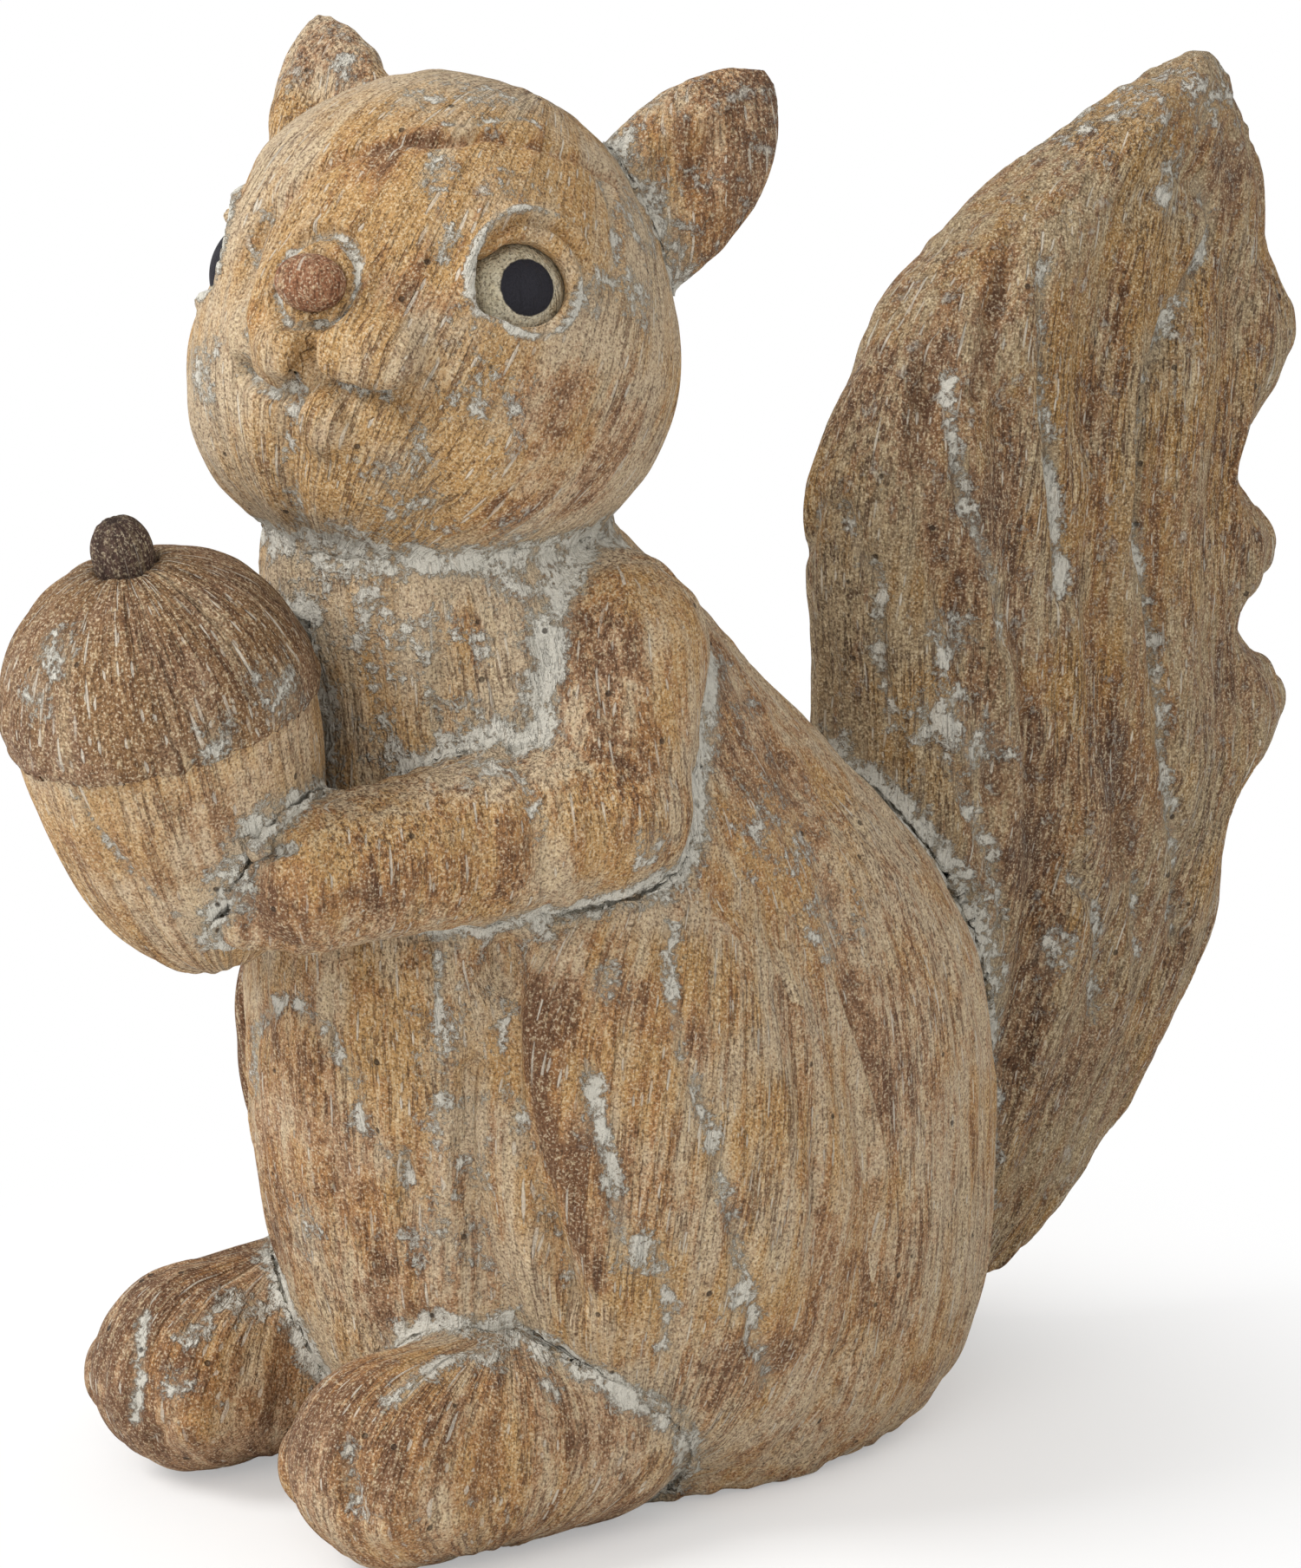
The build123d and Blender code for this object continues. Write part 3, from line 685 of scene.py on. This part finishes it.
for node, flips in (("arm_left", left_side), ("arm_right", right_side)):
    arm = blank(node + "_cast", (node,), facet=0.6, soften=12)
    flow_together(arm)
    push(arm, unevenness(places(arm)))
    lime = gouge(arm, "arm_left", (
        (finger_line, 1.0, 1.3, 1.1),
        (thumb_line, 0.9, 0.9, 0.6),
        (forearm_top_line, 2.4, 0.3, 1.2),
        (elbow_line, 1.8, 0.7, 0.35),
        (sleeve_line, 1.8, 0.7, -0.2),
    ), flips)
    points = places(arm)
    seam = seam_gap(points, "body", "head", "acorn_nut", "acorn_cup", "haunch_left", "haunch_right")
    filler = 0.95 * fade(seam, 2.6)
    push(arm, smeared(points, filler))
    store(
        arm,
        chalk=np.max([lime, filler, 0.7 * patches(points, "arm_left", arm_lime, flips)], axis=0),
        wash=0.14 + 0.2 * lumps(points, 12, 9) + 0.6 * patches(points, "arm_left", arm_brown, flips),
        warm=patches(points, "arm_left", arm_warm, flips),
    )
    straight_grain(arm)
    strokes(arm, depth=0.38)
    dress(arm, node, fur)

# ---- Acorn ----
# A pale nut in a dark cup with a stalk, luted between the paws and the chest.
# The three are cast together in the same stone mix and washed in their own colours.
nut_stone = carved_stone("cast_stone_pale_wash", "#c6ae90", "#b89364", "#a0754c", "#7c5b42", nicks=0.15)
cup_stone = carved_stone("cast_stone_dark_wash", "#80614a", "#866543", "#6f4d33", "#452d1f", nicks=0.45, comb=0.9)
stalk_stone = carved_stone(
    "cast_stone_blackish_wash", "#4f3f38", "#5c463d", "#46332a", "#30231f", nicks=0.1, comb=0.4,
)
acorn_centre, acorn_axis, acorn_radius = (0, -49, 117), (0, -0.259, 0.966), 16
nut_line = [(88, 925), (150, 1010), (235, 1075)]
nut_brown = [(180, 1000, 7), (230, 940, 6), (90, 990, 5)]
cup_lime = [(60, 750, 5), (40, 800, 4), (330, 800, 6), (250, 860, 4)]
for name, node, slot, finish, facet, cuts, furrows in (
    ("nut", "acorn_nut", "nut", nut_stone, 0.5, ((nut_line, 1.0, 0.5, 0.5),), 0.34),
    ("cup", "acorn_cup", "cup", cup_stone, 0.5, (), 0.34),
    ("stalk", "acorn_stem", "stem", stalk_stone, 0.35, (), 0.12),
):
    piece = blank(name, (node,), facet, soften=5)
    if name != "stalk":
        flow_together(piece, reach=1.6)
    push(piece, 0.5 * unevenness(places(piece)))
    lime = gouge(piece, node, cuts)
    points = places(piece)
    seam = seam_gap(points, "body", "arm_left", "arm_right")
    store(
        piece,
        chalk=np.max([lime, 0.9 * fade(seam, 3.0), 0.6 * patches(points, "acorn_cup", cup_lime)], axis=0),
        wash=0.1 + 0.2 * lumps(points, 9, 11) + 0.4 * patches(points, "acorn_nut", nut_brown),
        warm=0.5 + 0.5 * lumps(points, 12, 12),
    )
    turned_grain(piece, acorn_centre, acorn_axis, acorn_radius)
    strokes(piece, furrows)
    dress(piece, node, finish)

# ---- Tail ----
# One tall leaf of fluted hair with a scalloped back edge, cast in the same stone mix. It stands on a tenon behind the
# back, and its wash is browner than the trunk's.
tail_stone = carved_stone("cast_stone_brown_wash", "#9c886a", "#a07b48", "#86593a", "#573d2d", nicks=0.3, comb=1.2)
tail_front_line = [(971, 586), (988, 641), (1016, 674), (1010, 752), (1027, 836)]
tail_fold_line = [(1171, 269), (1149, 363), (1127, 452)]
tail_first_line = [(1093, 430), (1099, 502), (1121, 597), (1154, 680), (1163, 741)]
tail_second_line = [(1204, 302), (1204, 386), (1210, 474), (1218, 586), (1227, 686)]
tail_crest_line = [
    (1360, 191), (1393, 219), (1402, 263), (1377, 324), (1343, 391), (1321, 463),
    (1316, 558), (1321, 669), (1338, 780), (1350, 907), (1358, 1014), (1360, 1080),
]
tail_low_front_line = [(1087, 870), (1136, 961), (1152, 1014), (1162, 1068)]
tail_low_middle_line = [(1243, 1014), (1270, 1068), (1264, 1175)]
tail_low_back_line = [(1312, 1014), (1312, 1121)]
# The flutes: brown along the valleys is painted shade, and pale along the ridges is painted highlight, where the
# light from the left falls
tail_valley_shade_line = [(1170, 480), (1175, 620), (1195, 780), (1205, 940), (1200, 1100), (1175, 1230)]
tail_third_valley_shade_line = [(1080, 400), (1060, 500), (1075, 620), (1120, 760), (1150, 900)]
tail_ridge_highlight_line = [(1125, 380), (1120, 500), (1140, 640), (1170, 800), (1180, 930)]
tail_second_ridge_highlight_line = [(1240, 380), (1225, 500), (1230, 660), (1245, 820), (1255, 980)]
tail_second_valley_shade_line = [(1290, 330), (1275, 470), (1275, 640), (1285, 820), (1300, 980)]
tail_brown = [
    (1150, 340, 8), (1060, 480, 8), (1440, 790, 11), (1455, 620, 6), (1180, 1000, 9), (1250, 900, 8), (1330, 1080, 6),
    (1470, 370, 5), (1150, 1280, 9), (1240, 1230, 8), (1120, 600, 6), (1420, 200, 5), (1010, 450, 5),
]
tail_warm = [
    (1390, 350, 10), (1400, 480, 9), (1410, 560, 8), (1250, 430, 9), (1260, 600, 8), (1350, 150, 9), (1240, 800, 8),
]
tail_lime = [
    (1390, 120, 6), (1360, 200, 5), (1100, 740, 5), (1130, 870, 6), (1090, 830, 6), (1350, 230, 4), (1220, 1100, 5),
]
# How far back the tail's middle lies at each height, which its tool marks follow
tail_heights, tail_middles = (9, 20, 57, 83, 113, 151, 170, 185), (82, 88, 102, 110, 110, 115, 121, 132)
tail = blank("tail_leaf", ("tail",), facet=0.75, soften=5)
flow_together(tail, reach=2.0, weight=rise(places(tail)[:, 2], 115, 100))
push(tail, unevenness(places(tail)) + 0.25 * lumps(places(tail) * (1, 1, 0.25), 5, 12))
lime = gouge(tail, "tail", (
    (tail_front_line, 1.4, 1.2, 0.6),
    (tail_fold_line, 1.4, 1.2, -0.3),
    (tail_first_line, 1.3, 1.4, 0.7),
    (tail_second_line, 1.3, 1.4, 0.65),
    (tail_crest_line, 1.6, 1.6, 0.7),
    (tail_low_front_line, 1.4, 1.3, 0.65),
    (tail_low_middle_line, 1.3, 1.2, 0.6),
    (tail_low_back_line, 1.2, 1.0, 0.55),
    (tail_valley_shade_line, 3.6, 2.3, -0.35),
    (tail_second_valley_shade_line, 3.2, 2.0, -0.35),
    (tail_third_valley_shade_line, 2.6, 1.7, -0.3),
    (tail_ridge_highlight_line, 2.0, -0.9, 0.2),
    (tail_second_ridge_highlight_line, 2.0, -0.9, 0.2),
), both_sides)
points = places(tail)
filler = fade(seam_gap(points, "body"), 4.5)
push(tail, smeared(points, filler, size=2.2))
tip = rise(points[:, 2], 168, 182)
brown_lines_and_shade = np.maximum(-lime, 0)
store(
    tail,
    # The lime from the cut lines includes a painted highlight along the flute ridges
    chalk=np.max([lime, filler, 0.45 * tip, 0.7 * patches(points, "tail", tail_lime, both_sides)], axis=0),
    # The brown from the cut lines includes the painted shade in the flute valleys
    wash=brown_lines_and_shade + 0.18 + 0.25 * lumps(points * (1, 1, 0.3), 9, 13)
    + 0.4 * patches(points, "tail", tail_brown, both_sides),
    warm=patches(points, "tail", tail_warm, both_sides),
)
straight_grain(tail, shift=np.interp(points[:, 2], tail_heights, tail_middles))
strokes(tail, depth=0.5)
dress(tail, "tail", tail_stone)

# ---- Head ----
# A round head turned to its left, cast in the same stone mix with broad cheeks, whisker pads and a small chin, and
# set on the shoulders. The lids, the mouth and the brow were cut with a fine gouge. Lime was left in the lids and the
# mouth, and the brow line carries brown that is partly wash and partly painted shade under its step.
head_centre = np.array((0.0, -4.0, 162.0))
head_turn = radians(25)
head_across = np.array((cos(head_turn), sin(head_turn), 0))
head_forward = np.array((sin(head_turn), -cos(head_turn), 0))


def from_head(across, forward, up):
    """A place given from the head's centre: to its left, forwards and up, in millimetres."""
    return head_centre + across * head_across + forward * head_forward + np.array((0, 0, up))


eye_turn, eye_pitch, eye_depth = radians(54.0), radians(22.0), 23.8
eyes = {}
for side, node in ((1, "eye_left"), (-1, "eye_right")):
    look = (side * sin(eye_turn) * cos(eye_pitch), cos(eye_turn) * cos(eye_pitch), sin(eye_pitch))
    eyes[node] = from_head(*(eye_depth * part for part in look))
# Each ring of the lids, by its distance from the eye's axis
eye_edge, rim_ring, crease_ring, fold_ring, lids_end = 7.4, 6.9, 8.3, 9.7, 11.0


def round_eye(points, node):
    """Where points lie round an eye: the way it looks, from its centre, toward the nose, up, and from its axis."""
    axis = (eyes[node] - head_centre) / np.linalg.norm(eyes[node] - head_centre)
    inward = np.cross(axis, (0, 0, 1))
    inward /= np.linalg.norm(inward)
    away = points - eyes[node]
    toward_nose = away @ inward * (1 if node == "eye_left" else -1)
    ring = np.linalg.norm(away - np.outer(away @ axis, axis), axis=1)
    return axis, away, toward_nose, away @ np.cross(inward, axis), ring


def away_from_eyes(points):
    """None of it at the lids, all of it 5 mm outside them."""
    nearest = np.min([np.linalg.norm(points - centre, axis=1) for centre in eyes.values()], axis=0)
    return rise(nearest, lids_end, lids_end + 5)


def lids(piece):
    """The lids: a rim round each eye, a crease over it and an upper fold. Gives back the lime on them."""
    points, out = places(piece), facings(piece)
    amount, lime = np.zeros(len(points)), np.zeros(len(points))
    for node in eyes:
        axis, away, toward_nose, height, ring = round_eye(points, node)
        front = (away @ axis > -4) & (out @ axis > 0.0) & (np.linalg.norm(away, axis=1) > eye_edge)
        # The far eye's lids end before the head's outline
        shown = 1.0 if node == "eye_left" else rise(toward_nose, -4, 0)
        upper = shown * rise(height + 1 + 0.3 * toward_nose, 0, 3)
        fold = ring + 1.2 * rise(toward_nose, 0, 8)
        rim, crease, ridge = fade(ring - rim_ring, 0.6), fade(fold - crease_ring, 0.6), fade(fold - fold_ring, 0.8)
        amount += front * (0.7 * shown * rim - 0.8 * upper * crease + 1.0 * upper * ridge)
        low_rim = rise(2 - height - 0.4 * toward_nose, 0, 4) * fade(ring - rim_ring - 0.1, 0.7)
        high_fold = upper * np.maximum(rise(toward_nose, -7, -2), 0.2) * fade(fold - fold_ring - 0.1, 0.8)
        lime = np.maximum(lime, front * shown * np.maximum(low_rim, high_fold))
    push(piece, amount)
    return lime


philtrum_line = [(361, 362), (358, 390), (357, 416)]
mouth_left_line = [(350, 428), (368, 437), (399, 447), (430, 458), (460, 458), (487, 443)]
mouth_right_line = [(350, 428), (334, 447), (315, 458), (288, 443), (275, 430)]
muzzle_line = [(302, 239), (283, 318), (275, 398), (278, 430)]
smile_line = [(487, 443), (481, 470), (490, 530), (499, 596)]
chin_side_line = [(335, 455), (325, 500), (330, 560), (345, 610)]
chin_line = [(350, 445), (340, 470), (353, 500), (385, 515), (403, 490), (395, 460)]
# The brow's step: the brown along its groove is partly wash and partly painted shade under the step
brow_wash_and_shade_line = [
    (288, 274), (326, 228), (368, 190), (414, 171), (468, 160), (525, 160), (560, 152),
    (602, 160), (659, 175), (694, 190), (717, 213),
]
crown_line = [(514, 138), (544, 140), (567, 133), (602, 131), (621, 137)]
forehead_line = [(502, 170), (505, 215), (506, 267), (510, 300)]
temple_line = [(697, 198), (713, 259), (709, 320)]
eye_corner_line = [(668, 343), (694, 324), (713, 320)]
jaw_line = [(613, 554), (590, 572), (567, 588)]
head_pits = [(476, 463, 2.2), (353, 430, 1.4)]
head_mounds = [(400, 408, 4.6), (428, 414, 4.8), (454, 420, 4.0), (322, 406, 3.8), (372, 490, 4.2)]
head_hollows = [(520, 560, 6), (335, 520, 4)]
head_dust = [
    (300, 160, 9), (350, 110, 8), (560, 110, 9), (230, 420, 8), (560, 380, 6), (400, 620, 6), (560, 470, 8),
    (480, 590, 7), (600, 220, 6), (450, 560, 6),
]
head_lime = [
    (478, 112, 4), (505, 200, 3), (508, 270, 3), (715, 180, 6), (738, 260, 6), (735, 330, 6), (700, 340, 4),
    (480, 560, 4), (600, 620, 5),
]
head_brown = [
    (440, 185, 3), (475, 335, 4), (476, 463, 2), (640, 480, 9), (700, 540, 10), (640, 570, 7), (590, 600, 6),
    (490, 160, 3),
]
head_warm = [
    (420, 220, 12), (600, 200, 10), (430, 470, 8), (480, 600, 11), (560, 450, 9), (410, 400, 7), (330, 400, 5),
    (400, 560, 9),
]
nose_place, nose_groove_radius, muzzle_front = from_head(0, 0, 12.6), 5.7, 24
mound_height, pit_depth, hollow_depth, far_eye_depth = 2.6, 2.8, 0.9, 3.6
head = blank("head_cast", ("head",), facet=0.6, soften=30, spare=lambda points: 0.12 + 0.88 * away_from_eyes(points))
points = places(head)
crown = (points[:, 2] > 168) * away_from_eyes(points)
flow_together(head, reach=2.6, weight=rise(points[:, 2], 152, 146) + 0.9 * crown)
push(head, unevenness(places(head)) * (0.3 + 0.7 * away_from_eyes(points)))

# The outer lid of the far eye lies deeper, so that its ball stands out of the head's outline
points = places(head)
axis, away, toward_nose, height, ring = round_eye(points, "eye_right")
outer = rise(toward_nose, 3, -3) * fade(np.maximum(ring - 8, 0), 4) * rise(away @ axis, -8, -2)
put(head, points - far_eye_depth * outer[:, None] * axis)
points = places(head)
push(
    head,
    mound_height * patches(points, "head", head_mounds, edge=4)
    - pit_depth * patches(points, "head", head_pits, edge=4)
    - hollow_depth * patches(points, "head", head_hollows),
)
lime = gouge(head, "head", (
    (philtrum_line, 1.0, 2.2, 0.15),
    (mouth_left_line, 0.9, 2.8, 0.6),
    (mouth_right_line, 0.9, 2.2, 0.6),
    (muzzle_line, 1.9, 1.5, 0.4),
    (smile_line, 2.4, 1.6, 0.5),
    (chin_side_line, 2.0, 1.2, 0.4),
    (chin_line, 0.8, 0.8, 0.3),
    (brow_wash_and_shade_line, 1.0, 1.2, -0.5),
    (crown_line, 0.7, 0.6, 0.8),
    (forehead_line, 1.5, 0.3, 0.5),
    (temple_line, 1.3, 0.9, 0.6),
    (eye_corner_line, 1.6, 0.5, 0.7),
    (jaw_line, 0.9, 0.7, -0.3),
))
brown_lines_and_shade = np.maximum(-lime, 0)
lime = np.maximum(lime, lids(head))
points = places(head)
nose_across = (points - nose_place) @ head_across
nose_ring = np.abs(np.hypot(nose_across, points[:, 2] - nose_place[2]) - nose_groove_radius)
nose_ring[(points - head_centre) @ head_forward < muzzle_front] = 9
push(head, -1.0 * fade(nose_ring, 0.7) + 0.5 * fade(nose_ring - 1.5, 0.7))
seam = seam_gap(points, "body", "ear_left", "ear_right", "arm_left", "arm_right")
filler = 0.9 * fade(seam, 3.4)
push(head, smeared(points, filler))
store(
    head,
    chalk=np.max([
        lime, filler, 0.9 * fade(nose_ring, 0.6),
        0.6 * patches(points, "head", head_lime), 0.45 * patches(points, "head", head_dust),
    ], axis=0),
    # The brown from the cut lines includes the painted shade along the brow
    wash=brown_lines_and_shade - 0.06 + 0.15 * lumps(points, 14, 15) + 0.6 * patches(points, "head", head_brown),
    warm=patches(points, "head", head_warm),
)
turned_grain(head, head_centre, pole=(0, 0.5, 0.86), radius=26)
strokes(head, depth=0.14)
dress(head, "head", fur)

# ---- Ears ----
# Leaf-shaped ears of the same stone mix with a shallow hollow in front, plugged into the head, with pale filler
# smeared round the root. The near one is browner than the far one.
ear_rim_line = [(875, 72), (840, 110), (805, 150), (775, 205)]
ear_brown = [
    (880, 80, 5), (850, 110, 5), (800, 170, 5), (870, 180, 6), (850, 230, 6), (370, 50, 6), (400, 90, 5),
]
ear_warm = [(790, 130, 6), (760, 180, 5), (330, 130, 6)]
ear_lime = [(740, 200, 5), (760, 280, 5), (765, 330, 4), (390, 80, 4), (420, 110, 4)]
for node, brownness in (("ear_left", 0.42), ("ear_right", 0.05)):
    ear = blank(node + "_cast", (node,), facet=0.45, soften=6)
    flow_together(ear)
    push(ear, 0.5 * unevenness(places(ear)))
    lime = gouge(ear, node, ((ear_rim_line, 1.4, -0.6, 0.0),))
    points = places(ear)
    seam = seam_gap(points, "head")
    store(
        ear,
        chalk=np.max([lime, 0.85 * fade(seam, 5.0), 0.6 * patches(points, node, ear_lime)], axis=0),
        wash=brownness + 0.3 * lumps(points, 8, 17) + 0.4 * patches(points, node, ear_brown),
        warm=patches(points, node, ear_warm),
    )
    straight_grain(ear)
    strokes(ear, depth=0.3)
    dress(ear, node, fur)

# ---- Eyes ----
# Balls of the same stone mix in sockets behind the lids, washed cream, with a pupil painted on in black.
# The near pupil was found on the photograph, and the far one mirrors it.
eye_stone = carved_stone(
    "cast_stone_cream_wash", "#d2cbb6", "#c8bda0", "#b3a78b", "#998c74", nicks=0.0, comb=0.3, pupil="#26252b",
)
pupil_pixel, pupil_radius = (611, 330), 3.9
pupil_place = on_photo("eye_left", [pupil_pixel])[0]
far_look = pupil_place - head_centre
far_look = far_look - 2 * (far_look @ head_across) * head_across
for node, middle in (("eye_left", pupil_place), ("eye_right", head_centre + far_look)):
    eye = blank(node + "_ball", (node,), facet=0.3, soften=1)
    points = places(eye)
    pupil = np.clip(pupil_radius - np.linalg.norm(points - middle, axis=1) + 0.5, 0, 1)
    nothing = np.zeros(len(points))
    store(eye, chalk=nothing, wash=nothing, warm=nothing, ink=pupil)
    straight_grain(eye)
    dress(eye, node, eye_stone)

# ---- Nose ----
# A reddish brown button of the same stone mix, which sits on a peg in a ring-shaped groove of the muzzle.
# It was painted by itself, so no lime lies on it.
nose_stone = carved_stone(
    "cast_stone_red_brown_wash", "#946f56", "#8f6144", "#7a4a34", "#573829", nicks=0.35, comb=0.7,
)
nose = blank("nose_button", ("nose",), facet=0.35, soften=3)
points = places(nose)
store(
    nose,
    chalk=np.zeros(len(points)),
    wash=0.1 + 0.2 * lumps(points, 4, 18),
    warm=0.5 + 0.5 * lumps(points, 3, 19),
)
straight_grain(nose)
dress(nose, "nose", nose_stone)

# ---- Table and light ----
# A pale table top that fades into a white studio. Seen from the camera, a window lights the squirrel from the upper
# left, a weaker lamp stands near the camera, and the weakest one behind it on the right.
board_size, board_gap, board_centre = 4.0, 0.00005, (0, 0.03, 0)
fade_start, fade_end = 0.05, 0.15
bpy.ops.mesh.primitive_plane_add(size=board_size, location=(0, 0, -board_gap))
floor = bpy.context.object
floor.name = "table_top"
table = bpy.data.materials.new("matt_white_board")
table.use_nodes = True
tree = table.node_tree
tree.nodes.clear()
spot = add(tree, "TexCoord", out="Object")
away = add(tree, "VectorMath", (spot, board_centre), out="Value", operation="DISTANCE")
far = add(tree, "MapRange", (away, fade_start, fade_end, 0.35), interpolation_type="SMOOTHSTEP")
sight = add(tree, "LightPath", out="Is Camera Ray")
share = add(tree, "Math", (far, sight), operation="MULTIPLY")
board = add(tree, "BsdfPrincipled", {"Base Color": (0.94, 0.94, 0.94, 1), "Roughness": 0.9})
glow = add(tree, "Emission", {"Color": (1, 1, 1, 1), "Strength": 1.0})
add(tree, "OutputMaterial", {"Surface": add(tree, "MixShader", (share, board, glow))})
floor.data.materials.append(table)

world = bpy.data.worlds.new("studio")
bpy.context.scene.world = world
world.use_nodes = True
tree = world.node_tree
tree.nodes.clear()
rays = add(tree, "LightPath").node.outputs
seen = add(tree, "Math", (rays["Is Camera Ray"], rays["Is Glossy Ray"]), operation="MAXIMUM")
seen = add(tree, "Math", (seen, rays["Is Transmission Ray"]), operation="MAXIMUM")
fill = add(tree, "Background", {"Color": (1.0, 0.99, 0.97, 1), "Strength": 0.55})
white = add(tree, "Background", {"Color": (1, 1, 1, 1), "Strength": 1.0})
add(tree, "OutputWorld", {"Surface": add(tree, "MixShader", (seen, fill, white))})

lit_place = Vector((0, 0.02, 0.09))
for name, place, size, power in (
    ("window_light", (-0.5, -1.0, 1.1), 0.7, 16.0),
    ("front_light", (0.7, -0.9, 0.8), 0.9, 6.0),
    ("back_light", (0.3, 1.2, 1.2), 1.0, 4.0),
):
    bpy.ops.object.light_add(type="AREA", location=place)
    lamp = bpy.context.object
    lamp.name = name
    lamp.data.size, lamp.data.energy = size, power
    lamp.rotation_euler = (Vector(place) - lit_place).to_track_quat("Z", "Y").to_euler()

bpy.context.scene.view_settings.view_transform = "Standard"
